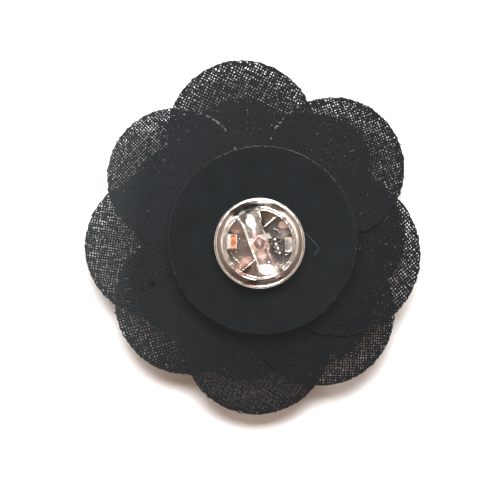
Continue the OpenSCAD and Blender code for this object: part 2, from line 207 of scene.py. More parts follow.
class Nodes:
    """A material's node tree, with short calls for the nodes used here."""

    def __init__(self, name):
        self.material = bpy.data.materials.new(name)
        self.material.use_nodes = True
        self.tree = self.material.node_tree
        self.shader = self.tree.nodes["Principled BSDF"]
        self.texture_place = None

    def add(self, kind, **values):
        node = self.tree.nodes.new(kind)
        for key, value in values.items():
            setattr(node, key, value)
        return node

    def link(self, out, to):
        self.tree.links.new(out, to)

    def fill(self, node, *values):
        """Fills a node's first inputs in their order, from another node's output or with a constant."""
        for socket, value in zip(node.inputs, values):
            if isinstance(value, bpy.types.NodeSocket):
                self.link(value, socket)
            else:
                socket.default_value = value
        return node

    def set(self, **values):
        for key, value in values.items():
            self.shader.inputs[key.replace("_", " ")].default_value = value

    def finish(self, colour, normal):
        """Links the colour and the normal to the shader and gives the material."""
        self.link(colour, self.shader.inputs["Base Color"])
        self.link(normal, self.shader.inputs["Normal"])
        return self.material

    def place(self):
        if self.texture_place is None:
            self.texture_place = self.add("ShaderNodeTexCoord").outputs["Object"]
        return self.texture_place

    def noise(self, scale, detail, rough=0.5, out="Fac"):
        node = self.add("ShaderNodeTexNoise")
        node.inputs["Scale"].default_value = scale
        node.inputs["Detail"].default_value = detail
        node.inputs["Roughness"].default_value = rough
        self.link(self.place(), node.inputs["Vector"])
        return node.outputs[out]

    def added(self, value, share, other):
        """A share of one value, plus another."""
        return self.fill(self.add("ShaderNodeMath", operation="MULTIPLY_ADD"), value, share, other).outputs[0]

    def vector(self, operation, *values):
        return self.fill(self.add("ShaderNodeVectorMath", operation=operation), *values).outputs["Vector"]

    def length(self, vector):
        return self.fill(self.add("ShaderNodeVectorMath", operation="LENGTH"), vector).outputs["Value"]

    def mapped(self, value, low, high, start=0.0, end=1.0, kind="SMOOTHSTEP"):
        """start where a value is at low, end where it is at high, and a smooth or even way between them."""
        node = self.add("ShaderNodeMapRange", interpolation_type=kind)
        return self.fill(node, value, low, high, start, end).outputs["Result"]

    def ramp(self, fac, *stops):
        node = self.add("ShaderNodeValToRGB")
        for element, (at, colour) in zip(node.color_ramp.elements, stops):
            element.position = at
            element.color = (*colour, 1)
        self.link(fac, node.inputs["Fac"])
        return node.outputs["Color"]

    def laid_over(self, under, share, over, kind):
        """A constant laid over another node's output, by a share."""
        node = self.add("ShaderNodeMix", data_type=kind)
        under_at, over_at, out_at = MIX_SOCKETS[kind]
        self.link(share, node.inputs[0])
        self.link(under, node.inputs[under_at])
        node.inputs[over_at].default_value = over
        return node.outputs[out_at]

    def painted(self, under, share, colour):
        return self.laid_over(under, share, (*colour, 1), "RGBA")

    def bump(self, height, strength, distance, under=None):
        node = self.add("ShaderNodeBump")
        node.inputs["Strength"].default_value = strength
        node.inputs["Distance"].default_value = distance
        self.link(height, node.inputs["Height"])
        if under is not None:
            self.link(under, node.inputs["Normal"])
        return node.outputs["Normal"]


# materials, with places and bump depths in metres

# painted light: the cloth grows paler between these places in x, towards the left, and once more between
# these distances, measured from a shifted middle after y is squeezed, at the petals' far tips, most of all on
# the left
LEFT_LIGHT_FROM, LEFT_LIGHT_TO = 0.002, -0.016
TIP_LIGHT_SQUEEZE, TIP_LIGHT_SHIFT = (1, 0.6, 0), (-0.003, 0, 0)
TIP_LIGHT_FROM, TIP_LIGHT_TO = 0.0175, 0.0235


def mesh_cloth_material(name, dark, light, broad=420, left_light=None, wear_and_tip_light=None):
    """broad is the scale of its larger patches. The two further colours are painted light: the first is laid
    on the petals towards the left, the second on their far tips, most of all on the left."""
    m = Nodes(name)
    tone = m.added(m.noise(broad, detail=2), share=0.55, other=m.noise(3200, detail=2))
    colour = m.ramp(tone, (0.45, dark), (1.0, light))
    # painted light from the left: paler cloth towards the left and at the far tips
    if left_light is not None:
        split = m.add("ShaderNodeSeparateXYZ")
        m.link(m.place(), split.inputs[0])
        colour = m.painted(colour, m.mapped(split.outputs["X"], LEFT_LIGHT_FROM, LEFT_LIGHT_TO), left_light)
    if wear_and_tip_light is not None:
        far = m.length(m.vector("MULTIPLY_ADD", m.place(), TIP_LIGHT_SQUEEZE, TIP_LIGHT_SHIFT))
        colour = m.painted(colour, m.mapped(far, TIP_LIGHT_FROM, TIP_LIGHT_TO), wear_and_tip_light)
    m.set(
        Roughness=0.65, Specular_IOR_Level=0.08,
        Sheen_Weight=0.02, Sheen_Roughness=0.5, Sheen_Tint=(0.7, 0.92, 1, 1),
    )
    normal = m.bump(m.noise(9000, detail=2), strength=0.5, distance=0.00003)
    return m.finish(colour, normal)


def felt_material(name, dark, light):
    m = Nodes(name)
    fine = m.noise(5200, detail=4, rough=0.7)
    tone = m.added(fine, share=0.6, other=m.noise(300, detail=3))
    m.set(Roughness=0.95, Specular_IOR_Level=0.06, Sheen_Weight=0.025, Sheen_Roughness=0.6)
    low = m.bump(m.noise(700, detail=3), strength=0.5, distance=0.00015)
    normal = m.bump(fine, strength=0.7, distance=0.00008, under=low)
    return m.finish(m.ramp(tone, (0.5, dark), (1.0, light)), normal)


# how far the edges of zones waver, in mm, how soft a ring's edge is, and the tint's share in dimmer patches
ZONE_WAVER, RING_SOFT, DIMMER = 0.6, 0.01, 0.86


def nickel_material(name, tint, rough, wear_and_tip_light, zones=(), rings=()):
    """Bright plate over brass. zones are places in mm with painted reflections, highlights and shade, each
    darker,
    paler or warmer: x, y, half width, half height, turn in degrees, softness, colour. rings are radii from,
    to, colour, roughness, of painted shade."""
    m = Nodes(name)
    colour = m.ramp(m.noise(900, detail=3), (0.35, tuple(c * DIMMER for c in tint)), (0.65, tint))
    waver = (ZONE_WAVER * MM, ZONE_WAVER * MM, 0)
    bent = m.vector("MULTIPLY_ADD", m.noise(1100, detail=2, out="Color"), waver, m.place())

    def inside(place, half_w, half_h, x, y, turn, soft):
        """1 inside an ellipse round a place, and 0 outside it."""
        spot = m.add("ShaderNodeMapping", vector_type="TEXTURE")
        spot.inputs["Location"].default_value = (x * MM, y * MM, 0)
        spot.inputs["Rotation"].default_value = (0, 0, math.radians(turn))
        spot.inputs["Scale"].default_value = (half_w * MM, half_h * MM, 1)
        m.link(place, spot.inputs["Vector"])
        far = m.length(m.vector("MULTIPLY", spot.outputs[0], (1, 1, 0)))
        return m.mapped(far, 1 - soft, 1 + soft, start=1, end=0)

    spots = m.noise(2600, detail=4, rough=0.6)
    roughness = m.mapped(spots, 0.35, 0.75, rough, rough + wear_and_tip_light, kind="LINEAR")
    for low, high, shade, dull in rings:
        disc = inside(m.place(), high, high, 0, 0, 0, RING_SOFT)
        hole = inside(m.place(), low, low, 0, 0, 0, RING_SOFT) if low else 0
        share = m.fill(m.add("ShaderNodeMath", operation="SUBTRACT", use_clamp=True), disc, hole).outputs[0]
        colour = m.painted(colour, share, shade)
        roughness = m.laid_over(roughness, share, dull, "FLOAT")
    for x, y, half_w, half_h, turn, soft, shade in zones:
        share = inside(bent, half_w, half_h, x + ZONE_WAVER / 2, y + ZONE_WAVER / 2, turn, soft)
        colour = m.painted(colour, share, shade)
    m.set(Metallic=1.0)
    m.link(roughness, m.shader.inputs["Roughness"])
    dents = m.bump(m.noise(650, detail=2), strength=0.5, distance=0.00014)
    return m.finish(colour, m.bump(m.noise(7000, detail=3), strength=0.12, distance=0.00002, under=dents))


def glue_material():
    m = Nodes("glue_dark")
    colour = m.ramp(m.noise(500, detail=3), (0.3, (0.0022, 0.0022, 0.0023)), (0.7, (0.0048, 0.0047, 0.0045)))
    m.set(Roughness=0.75, Specular_IOR_Level=0.06)
    return m.finish(colour, m.bump(m.noise(900, detail=3), strength=0.6, distance=0.0002))


def plain_floor_material():
    m = Nodes("floor_white")
    m.set(Base_Color=(0.93, 0.93, 0.93, 1), Roughness=0.9, Specular_IOR_Level=0.1)
    return m.material


# camera: its distance, the width of its view, the point it looks at and its tilt

CAMERA_FAR = 500.0
VIEW_W = 63.6
AIM = (-1.21, -0.89, 0.0)
TILT = math.radians(-0.65)
SENSOR_W = 36
CLIP_NEAR, CLIP_FAR = 0.01, 10

camera_data = bpy.data.cameras.new("camera")
camera_data.sensor_width = SENSOR_W
camera_data.lens = SENSOR_W * CAMERA_FAR / VIEW_W
camera_data.clip_start, camera_data.clip_end = CLIP_NEAR, CLIP_FAR
camera = bpy.data.objects.new("camera", camera_data)
camera.rotation_euler = (TILT, 0, 0)
camera.location = (Vector(AIM) + Vector((0, -math.sin(TILT), math.cos(TILT))) * CAMERA_FAR) * MM
bpy.context.scene.collection.objects.link(camera)
bpy.context.scene.camera = camera

# woven petals

# from thread to thread, a thread's width as a share of that, its thickness and the height of its waves
PITCH = 0.39
THREAD_SHARE, THREAD_H = 0.752, 0.030
WAVE = 0.032
# how uneven the threads are: their places, their ends, their sway and their width, over long and short ways,
# with the points in a long one
SHIFT, FRAY = 0.014, 0.06
SWAY_LONG, SWAY_SHORT, SWAY_STEP = 0.028, 0.038, 5
WIDTH_MEAN, WIDTH_LONG, WIDTH_SHORT, WIDTH_STEP = 0.98, 0.2, 0.24, 2
WIDTH_LEAST, WIDTH_MOST, WIDTH_EACH = 0.62, 1.8, 0.05
# a thread shorter than this share of the pitch is left out, and so is an end this near to a crossing
THREAD_LEAST, END_GAP = 0.6, 0.12
# the field of threads is this much larger than the outline, and its rim has points at these shares of a side
FIELD, RIM_SHARES = 1.5, (0, 0.25, 0.5, 0.75)
EDGE_W, EDGE_H, EDGE_STEP, EDGE_WOBBLE, EDGE_UNEVEN = 0.23, 0.08, 0.3, 0.05, 0.25
# for each back petal: spacing of its threads, their width, how uneven they are, how much of its sealed edge
# has painted glints, and by what share and towards which azimuth the cloth grows denser
BACK_WEAVE = (
    (0.95, 1.0, 1.0, 0.1, 0, 0),
    (0.8, 1.0, 1.0, 0.62, 0, 0),
    (0.84, 0.95, 1.0, 0.06, 0, 0),
    (0.95, 1.0, 0.85, 0.15, 0.32, 305),
    (0.64, 0.99, 0.4, 0.0, 0.18, 270),
    (0.84, 0.92, 0.85, 0.0, 0, 0),
    (0.92, 0.88, 1.0, 0.04, 0, 0),
    (0.85, 1.02, 0.8, 0.36, 0.12, 40),
)
EVEN_WEAVE = (1.0, 1.0, 1.0, 0.0, 0, 0)
# the heat that seals the edge flattens the threads beside it: by what share, and how far in
MELT, MELT_REACH = 0.2, 0.8
# half the way over which a slope is measured, how far the cloth nests towards its neighbours, and the least
# radius that its height is worked out for
SLOPE_STEP, NEST, RADIUS_LEAST = 0.05, 0.36, 0.5


def surface(row, azimuth, turn, fold, xy):
    """Height of a petal's cloth at points of its own plan. It lies in the CAD wall, nearer to its
    neighbours."""
    r = np.maximum(np.hypot(xy[:, 0], xy[:, 1]), RADIUS_LEAST)
    angle = azimuth + np.degrees(np.arctan2(xy[:, 1], xy[:, 0]))
    half = CLOTH_T * upright(row, r) / 2
    rise = lift(row, turn, fold, angle)
    z = np.maximum(ROW_Z[row] - droop(row, r) + rise * layer(row, r), FLOOR_Z + half)
    return z - NEST * np.tanh(2 * rise)


def crossings(shape, start, along):
    """Where a line crosses a closed outline, as distances along it, lowest and highest."""
    across = np.array([-along[1], along[0]])
    side = (shape - start) @ across
    far = (shape - start) @ along
    next_side, next_far = np.roll(side, -1), np.roll(far, -1)
    hit = (side > 0) != (next_side > 0)
    if hit.sum() < 2:
        return None
    share = side[hit] / (side[hit] - next_side[hit])
    places = far[hit] + share * (next_far[hit] - far[hit])
    return places.min(), places.max()


def unit(vectors):
    return vectors / np.linalg.norm(vectors, axis=1)[:, None]


def slope(height, line, across):
    """Slope of a surface across a line."""
    return (height(line + across * SLOPE_STEP) - height(line - across * SLOPE_STEP)) / (2 * SLOPE_STEP)


def smooth_noise(count, step, size):
    knots = rng.normal(0, size, count // step + 3)
    return np.interp(np.arange(count) / step, np.arange(len(knots)), knots)


def flat_tube(middle, ahead, right, width, thick, closed=False):
    """Points and faces of a four-sided tube along a line, wide across it and thin upwards."""
    n = len(middle)
    right = unit(right)
    up = unit(np.cross(ahead, right))
    wide, high = right * np.broadcast_to(width, n)[:, None] / 2, up * thick / 2
    rings = np.stack([middle + wide, middle + high, middle - wide, middle - high], axis=1).reshape(-1, 3)
    here = 4 * np.arange(n if closed else n - 1)[:, None]
    there = (here + 4) % (4 * n)
    corner = np.arange(4)[None, :]
    beside = (corner + 1) % 4
    quads = np.stack([here + corner, here + beside, there + beside, there + corner], axis=-1).reshape(-1, 4)
    if closed:
        return rings, quads
    end = 4 * (n - 1)
    caps = np.array([[3, 2, 1, 0], [end, end + 1, end + 2, end + 3]])
    return rings, np.concatenate([quads, caps])


def cut_edge(shape, height):
    """The heat-sealed cut edge of a petal, a fine ridge along its outline."""
    loop = np.vstack([shape, shape[:1]])
    far = np.concatenate([[0], np.cumsum(np.linalg.norm(np.diff(loop, axis=0), axis=1))])
    count = int(far[-1] / EDGE_STEP)
    place = np.arange(count) * far[-1] / count
    line = np.column_stack([np.interp(place, far, loop[:, 0]), np.interp(place, far, loop[:, 1])])
    along = unit(np.roll(line, -1, axis=0) - np.roll(line, 1, axis=0))
    across = np.column_stack([-along[:, 1], along[:, 0]])
    line = line + across * rng.normal(0, EDGE_WOBBLE, count)[:, None]
    middle = np.column_stack([line, height(line)])
    ahead = unit(np.roll(middle, -1, axis=0) - np.roll(middle, 1, axis=0))
    right = np.column_stack([across, slope(height, line, across)])
    width = EDGE_W * rng.lognormal(0, EDGE_UNEVEN, count)
    return flat_tube(middle, ahead, right, width, EDGE_H, closed=True)


def thread_points(low, high, first_at, number, pitch, halves):
    """Distances along a thread and the heights of its waves, from end to end. first_at is where the other
    family's thread 0 lies, and number is this thread's own, so that neighbours wave the other way."""
    index = np.arange(math.ceil((low - first_at) / pitch), math.floor((high - first_at) / pitch) + 1)
    crossing = first_at + index * pitch
    wave = WAVE * np.where((number + index) % 2 == 0, 1.0, -1.0)
    place, rise = crossing, wave
    if halves == 2 and len(crossing) > 1:
        place = np.empty(2 * len(crossing) - 1)
        place[0::2], place[1::2] = crossing, (crossing[:-1] + crossing[1:]) / 2
        rise = np.empty(len(place))
        rise[0::2], rise[1::2] = wave, 0
    keep_low = len(place) == 0 or place[0] - low > END_GAP
    keep_high = len(place) == 0 or high - place[-1] > END_GAP
    place = np.concatenate(([low] if keep_low else [], place, [high] if keep_high else []))
    rise = np.concatenate(([0] if keep_low else [], rise, [0] if keep_high else []))
    return place, rise


def woven_sheet(
    name, shape, grain, height, cloth, halves,
    wide=1.0, pitch=PITCH, glint=None, melt=0.0, uneven=1.0, lean=(0.0, 0.0),
):
    """Threads of a plain weave, cut to an outline in plan and laid on a surface. halves is how many pieces a
    thread has from one crossing to the next. The edge's share function gives the share of the sealed edge
    drawn in the pale edge material, a painted glint, at places along it. melt is how much wider the threads
    are at that edge, uneven how much their width differs, and lean how it grows along x and y, in shares a
    mm."""
    points, faces, used = [], [], 0
    thread_w = THREAD_SHARE * wide * pitch
    fine = pitch / PITCH
    origin = shape.mean(axis=0)
    count = int(np.abs(shape - origin).max() * FIELD / pitch)
    phase = rng.uniform(0, pitch, 2)
    beside = np.roll(shape, -1, axis=0) - shape
    rim = np.concatenate([shape + beside * share for share in RIM_SHARES])
    for family, way in ((0, 1), (1, -1)):
        turn = math.radians(grain + 90 * family)
        along = np.array([math.cos(turn), math.sin(turn)])
        across = np.array([-along[1], along[0]])
        for i in range(-count, count + 1):
            offset = i * pitch + phase[family] + rng.normal(0, SHIFT * fine)
            span = crossings(shape, origin + across * offset, along)
            if span is None or span[1] - span[0] < THREAD_LEAST * pitch:
                continue
            low, high = span[0] + rng.normal(0, FRAY), span[1] + rng.normal(0, FRAY)
            place, rise = thread_points(low, high, way * phase[1 - family], i + family, pitch, halves)
            n = len(place)
            if n < 2:
                continue
            sway = fine * (smooth_noise(n, SWAY_STEP, SWAY_LONG) + rng.normal(0, SWAY_SHORT, n))
            bulge = smooth_noise(n, WIDTH_STEP, WIDTH_LONG) + rng.normal(0, WIDTH_SHORT, n)
            bulge = np.clip(WIDTH_MEAN + uneven * bulge, WIDTH_LEAST, WIDTH_MOST)
            width = thread_w * rng.lognormal(0, WIDTH_EACH) * bulge
            width *= 1 + (across * offset + along * place[:, None]) @ np.array(lean)
            line = origin + across * (offset + sway)[:, None] + along * place[:, None]
            if melt:
                away = np.linalg.norm(line[:, None] - rim, axis=2).min(axis=1)
                width *= 1 + melt * np.exp(-((away / MELT_REACH) ** 2))
            middle = np.column_stack([line, height(line) + rise])
            ahead = unit(np.gradient(middle, axis=0))
            right = np.column_stack([np.tile(across, (n, 1)), slope(height, line, across)])
            rings, quads = flat_tube(middle, ahead, right, width, THREAD_H)
            points.append(rings)
            faces.append(quads + used)
            used += len(rings)
    rings, quads = cut_edge(shape, height)
    points.append(rings)
    faces.append(quads + used)
    obj = new_mesh(name, np.concatenate(points), np.concatenate(faces), smooth=False)
    on_edge = np.zeros(len(obj.data.polygons), np.int32)
    # painted glints: edge faces given the pale edge material in the second slot
    if glint is not None:
        places = rings.reshape(-1, 4, 3).mean(axis=1)[:, :2]
        on_edge[-len(quads):] = np.repeat(rng.random(len(places)) < glint(places), 4)
    obj.data.materials.append(cloth)
    obj.data.materials.append(edge_glint_and_lint)
    obj.data.polygons.foreach_set("material_index", on_edge)
    return obj


def turned(points, azimuth):
    a = math.radians(azimuth)
    c, s = math.cos(a), math.sin(a)
    out = points.copy()
    out[:, 0] = points[:, 0] * c - points[:, 1] * s
    out[:, 1] = points[:, 0] * s + points[:, 1] * c
    return out


# painted glints on the sealed edge: everywhere by the first share, and by the second more where it faces the
# flower's top, towards the light
GLINT_LEAST, GLINT_TOP = 0.2, 1.2
# points along a petal at which its slope is taken
SLOPE_POINTS = 60


def petal(name, row, azimuth, turn, fold, centre, radius, grain, material, halves, weave=EVEN_WEAVE):
    """A petal of woven cloth that stands for the CAD wall of the same name. weave is a row of BACK_WEAVE."""
    shape = outline(centre, radius, CUT_STEPS)
    spacing, wide, uneven, glint_share, denser, towards = weave
    towards = math.radians(towards - azimuth)
    top = np.array([math.sin(math.radians(azimuth)), math.cos(math.radians(azimuth))])

    def height(xy):
        return surface(row, azimuth, turn, fold, xy)

    # painted glint: more of the edge is pale where it faces the top, towards the light
    def glint(xy):
        away = unit(xy - (centre, 0))
        return glint_share * np.clip(GLINT_LEAST + GLINT_TOP * (away @ top), 0, 1)

    def on_flower(points):
        return turned(points, azimuth) + (FLOWER_X, FLOWER_Y, 0)

    obj = woven_sheet(
        name + "_weave", shape, grain - azimuth, height, material, halves,
        wide=wide, pitch=PITCH * spacing, glint=glint, melt=MELT if row == BACK else 0.0, uneven=uneven,
        lean=(denser / radius * math.cos(towards), denser / radius * math.sin(towards)),
    )
    move_points(obj, on_flower)
    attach(obj, "flower")
    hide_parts(name)
    # the flat cut is the outline with its length taken along the slope
    r = np.linspace(BASE_X, centre + radius, SLOPE_POINTS)
    stretch = np.sqrt(1 + np.gradient(droop(row, r), r) ** 2).mean()


# painted glints for the petals' sealed edges, and also the colour of the lint specks
edge_glint_and_lint = mesh_cloth_material("mesh_edge_glint_and_lint", (0.006, 0.006, 0.0065), (0.14, 0.142, 0.145), 2200)
# the back cloth carries painted light, paler towards the left and at the far tips
back_cloth = mesh_cloth_material(
    "mesh_black", (0.0013, 0.0020, 0.0027), (0.0035, 0.0048, 0.0061),
    left_light=(0.0071, 0.0095, 0.0112), wear_and_tip_light=(0.0195, 0.0235, 0.0260),
)
inner_cloth = mesh_cloth_material("mesh_black_inner", (0.0013, 0.0018, 0.0024), (0.0034, 0.0045, 0.0056))

for i, (azimuth, centre, radius, fold, grain) in enumerate(BACK_PETALS):
    petal(
        f"back_petal_{i + 1}", BACK, azimuth, i, fold,
        centre * BACK_REACH, radius * BACK_REACH, grain, back_cloth, 2, BACK_WEAVE[i],
    )
for prefix, row, first, count, size in (
    ("middle_petal", MIDDLE, MIDDLE_FIRST, MIDDLE_COUNT, MIDDLE_PETAL),
    ("front_petal", FRONT, FRONT_FIRST, FRONT_COUNT, FRONT_PETAL),
):
    for i in range(count):
        azimuth = first + i * SPACING[row]
        petal(f"{prefix}_{i + 1}", row, azimuth, i, 0, *size, rng.uniform(0, 90), inner_cloth, 1)

# strands: a knot of thread, lint, fibres and a hair

# the ridge of a strand stands this many radii above its base, and a smooth route has this many steps from one
# given point to the next
STRAND_RISE, ROUTE_STEPS = 1.6, 8


def strands(name, routes, radius):
    """Fine three-sided strands along short routes, as one mesh."""
    points, faces = [], []
    for route in routes:
        base = len(points)
        side = np.cross(np.gradient(route, axis=0), (0, 0, 1.0))
        side /= np.maximum(np.linalg.norm(side, axis=1), 1e-9)[:, None]
        for p, d in zip(route, side):
            points += [p + d * radius, p - d * radius, p + np.array((0, 0, radius * STRAND_RISE))]
        for i in range(len(route) - 1):
            a = base + 3 * i
            faces += [(a + j, a + (j + 1) % 3, a + 3 + (j + 1) % 3, a + 3 + j) for j in range(3)]
        end = base + 3 * (len(route) - 1)
        faces += [(base + 2, base + 1, base), (end, end + 1, end + 2)]
    return new_mesh(name, points, faces)


def smooth_route(points):
    """A rounded line through a few points."""
    points = np.asarray(points, float)
    far = np.arange(len(points))
    place = np.linspace(0, len(points) - 1, (len(points) - 1) * ROUTE_STEPS + 1)
    if len(points) < 3:
        return np.column_stack([np.interp(place, far, points[:, k]) for k in range(3)])
    way = np.gradient(points, axis=0)
    i = np.minimum(place.astype(int), len(points) - 2)
    t = (place - i)[:, None]
    a, b, c, d = points[i], points[i + 1], way[i], way[i + 1]
    return a + t * c + t**2 * (3 * (b - a) - 2 * c - d) + t**3 * (2 * (a - b) + c + d)


# a dark knot of thread on the lower left petal, and pale specks of lint: place, size, and the back petal it
# lies on, counted from 0
KNOT = ((-13.85, -5.2), 0.5, 3)
LINT = (((-14.4, 4.1), 0.13, 2), ((12.9, -0.75), 0.13, 6), ((16.35, -0.2), 0.11, 6))
KNOT_R, LINT_R = 0.13, 0.04
# a knot's loops, the points in each, the arc of one and the turn from one to the next
LOOPS, LOOP_POINTS, LOOP_ARC, LOOP_TURN = 5, 9, 1.7 * math.pi, 2.4
# the first loop's tilt and its share of the knot's size, and how much both grow with each loop
LOOP_TILT, TILT_MORE, LOOP_SIZE, SIZE_MORE = 0.5, 0.2, 0.5, 0.09
LOOP_Z, LOOP_WAVE = 0.12, 0.08


def knot(place, size, i):
    """Loops of a short thread, lying on a back petal."""
    azimuth, _, _, fold, _ = BACK_PETALS[i]
    own = turned(np.array([place]) - (FLOWER_X, FLOWER_Y), -azimuth)
    z = surface(BACK, azimuth, i, fold, own)[0]
    routes = []
    for k in range(LOOPS):
        way, tilt = k * LOOP_TURN, LOOP_TILT + TILT_MORE * k
        a = np.linspace(0, LOOP_ARC, LOOP_POINTS)
        r = size * (LOOP_SIZE + SIZE_MORE * k)
        x, y = r * np.cos(a), r * np.sin(a) * math.cos(tilt)
        routes.append(np.column_stack([
            place[0] + x * math.cos(way) - y * math.sin(way),
            place[1] + x * math.sin(way) + y * math.cos(way),
            z + LOOP_Z + LOOP_WAVE * np.sin(a),
        ]))
    return routes


thread_knot = strands("thread_knot", knot(*KNOT), KNOT_R)
thread_knot.data.materials.append(
    mesh_cloth_material("knot_black", (0.0004, 0.0004, 0.0005), (0.0008, 0.0008, 0.0009))
)
lint = strands("lint_specks", [route for speck in LINT for route in knot(*speck)], LINT_R)
lint.data.materials.append(edge_glint_and_lint)
for piece in (thread_knot, lint):
    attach(piece, "flower")

# felt

FELT_R = FELT_D / 2
# radius and height, from the middle of the side at the petals, round the rim, to the middle of the back
FELT_PROFILE = (
    (0, -FELT_T), (FELT_R * 0.5, -FELT_T), (FELT_R - 0.2, -FELT_T), (FELT_R - 0.04, -FELT_T + 0.18),
    (FELT_R, -FELT_T / 2), (FELT_R - 0.03, -0.22), (FELT_R - 0.12, -0.06), (FELT_R - 0.3, 0.0),
    (FELT_R * 0.9, 0.0), (FELT_R * 0.5, 0.0), (1.15, 0.0), (0, 0.0),
)
FELT_STEPS = 300
# how uneven the rim is, and the share of the widest radius from which a point is on it
RAGGED, RAGGED_FROM = 0.03, 0.985
# painted highlight on the cut edge at the top, where the light falls: middle and half width in degrees, the
# shares of its faces that are painted pale there and least of all, and how far in and down such faces lie
RIM_MIDDLE, RIM_HALF = 80, 42
RIM_HIGHLIGHT, RIM_LEAST = 1.35, 0.05
RIM_IN, RIM_DOWN = 0.17, 0.4


def revolved(name, profile, steps, centre):
    """A closed solid turned from (radius, height) points, the first and last on the axis, with an uneven
    rim."""
    angles = np.linspace(0, 2 * math.pi, steps, endpoint=False)
    widest = max(r for r, _ in profile)
    teeth = rng.normal(0, 1, steps) * RAGGED
    points = [(*centre, profile[0][1])]
    for r, z in profile[1:-1]:
        out = r + (teeth if r > RAGGED_FROM * widest else np.zeros(steps))
        points += [(centre[0] + q * math.cos(a), centre[1] + q * math.sin(a), z) for a, q in zip(angles, out)]
    points.append((*centre, profile[-1][1]))
    faces = []
    rings = len(profile) - 2
    last = len(points) - 1
    for j in range(steps):
        k = (j + 1) % steps
        faces.append((0, 1 + k, 1 + j))
        for i in range(rings - 1):
            a, b = 1 + i * steps, 1 + (i + 1) * steps
            faces.append((a + j, a + k, b + k, b + j))
        a = 1 + (rings - 1) * steps
        faces.append((a + j, a + k, last))
    return new_mesh(name, points, faces)


felt = revolved("felt_back", FELT_PROFILE, FELT_STEPS, (FLOWER_X, FLOWER_Y))
felt.data.materials.append(felt_material("felt_black", (0.0019, 0.0032, 0.0039), (0.0044, 0.0064, 0.0075)))
felt.data.materials.append(felt_material("felt_rim_highlight", (0.010, 0.011, 0.011), (0.07, 0.072, 0.071)))
# painted highlight: rim faces near the top get the pale material
for face in felt.data.polygons:
    x, y, z = face.center / MM
    if math.hypot(x - FLOWER_X, y - FLOWER_Y) > FELT_R - RIM_IN and z > -RIM_DOWN:
        away = abs(math.degrees(math.atan2(y - FLOWER_Y, x - FLOWER_X)) - RIM_MIDDLE)
        if rng.random() < max(RIM_HIGHLIGHT - away / RIM_HALF, RIM_LEAST):
            face.material_index = 1
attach(felt, "flower")
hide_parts("felt_disc")

FIBRES, FIBRE_POINTS, FIBRE_R, HAIR_R = 700, 4, 0.012, 0.034
# from the rim to the fibres on it and to the outermost of the others, and the middle's bare share of the area
FIBRE_ON_RIM, FIBRE_INSIDE, FIBRE_BARE = 0.15, 0.5, 0.03
# lengths of the fibres on the rim and of the others, how far the first stray from pointing outwards, and curl
RIM_LENGTHS, NAP_LENGTHS, STRAY, CURL = (0.25, 0.5), (0.5, 1.3), 0.7, 1.2
# the height of a fibre's base and of its arch, and how far one on the rim drops
FIBRE_Z, FIBRE_ARCH, FIBRE_DROP = 0.01, 0.04, 0.12


def felt_fibres():
    """Loose fibres of the nap, lying on the felt and standing a little out of its cut edge."""
    routes = []
    for i in range(FIBRES):
        on_edge = i % 3 == 0
        r = FELT_R - FIBRE_ON_RIM
        if not on_edge:
            r = (FELT_R - FIBRE_INSIDE) * math.sqrt(rng.uniform(FIBRE_BARE, 1))
        a = rng.uniform(0, 2 * math.pi)
        way = a + rng.normal(0, STRAY) if on_edge else rng.uniform(0, 2 * math.pi)
        length = rng.uniform(*(RIM_LENGTHS if on_edge else NAP_LENGTHS))
        share = np.linspace(0, 1, FIBRE_POINTS)
        turn = way + rng.normal(0, CURL) * share
        x = FLOWER_X + r * math.cos(a) + length * share * np.cos(turn)
        y = FLOWER_Y + r * math.sin(a) + length * share * np.sin(turn)
        z = FIBRE_Z + FIBRE_ARCH * np.sin(math.pi * share) - (FIBRE_DROP * share if on_edge else 0)
        routes.append(np.column_stack([x, y, z]))
    return strands("felt_fibres", routes, FIBRE_R)


# one longer pale hair caught on the felt beside the clutch
HAIR = ((5.75, 1.35, 0.05), (6.6, 0.5, 0.12), (7.45, -0.5, 0.06), (7.3, -1.1, 0.1), (6.95, -1.55, 0.04))
fibre_dark = felt_material("felt_fibre", (0.005, 0.006, 0.006), (0.02, 0.021, 0.021))
hair_grey = felt_material("hair_grey", (0.05, 0.055, 0.055), (0.12, 0.125, 0.125))
fibres = felt_fibres()
hair = strands("loose_hair", [smooth_route(HAIR)], HAIR_R)
for piece, material in ((fibres, fibre_dark), (hair, hair_grey)):
    piece.data.materials.append(material)
    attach(piece, "flower")

# rolled bud

BUD_GRAIN, BUD_THREADS = 3.0, 0.84
# how far inside the CAD strip the cloth is cut, and how near its threads come to the strip's ends and sides
BUD_CUT, BUD_END, BUD_SIDE = 0.05, 0.02, 0.03
# by what share the strip is less tall at the roll's outside, and the roll wider at its foot
BUD_FALL, BUD_FLARE = 0.35, 0.1
SPIRAL_POINTS, STRIP_POINTS = 400, 60


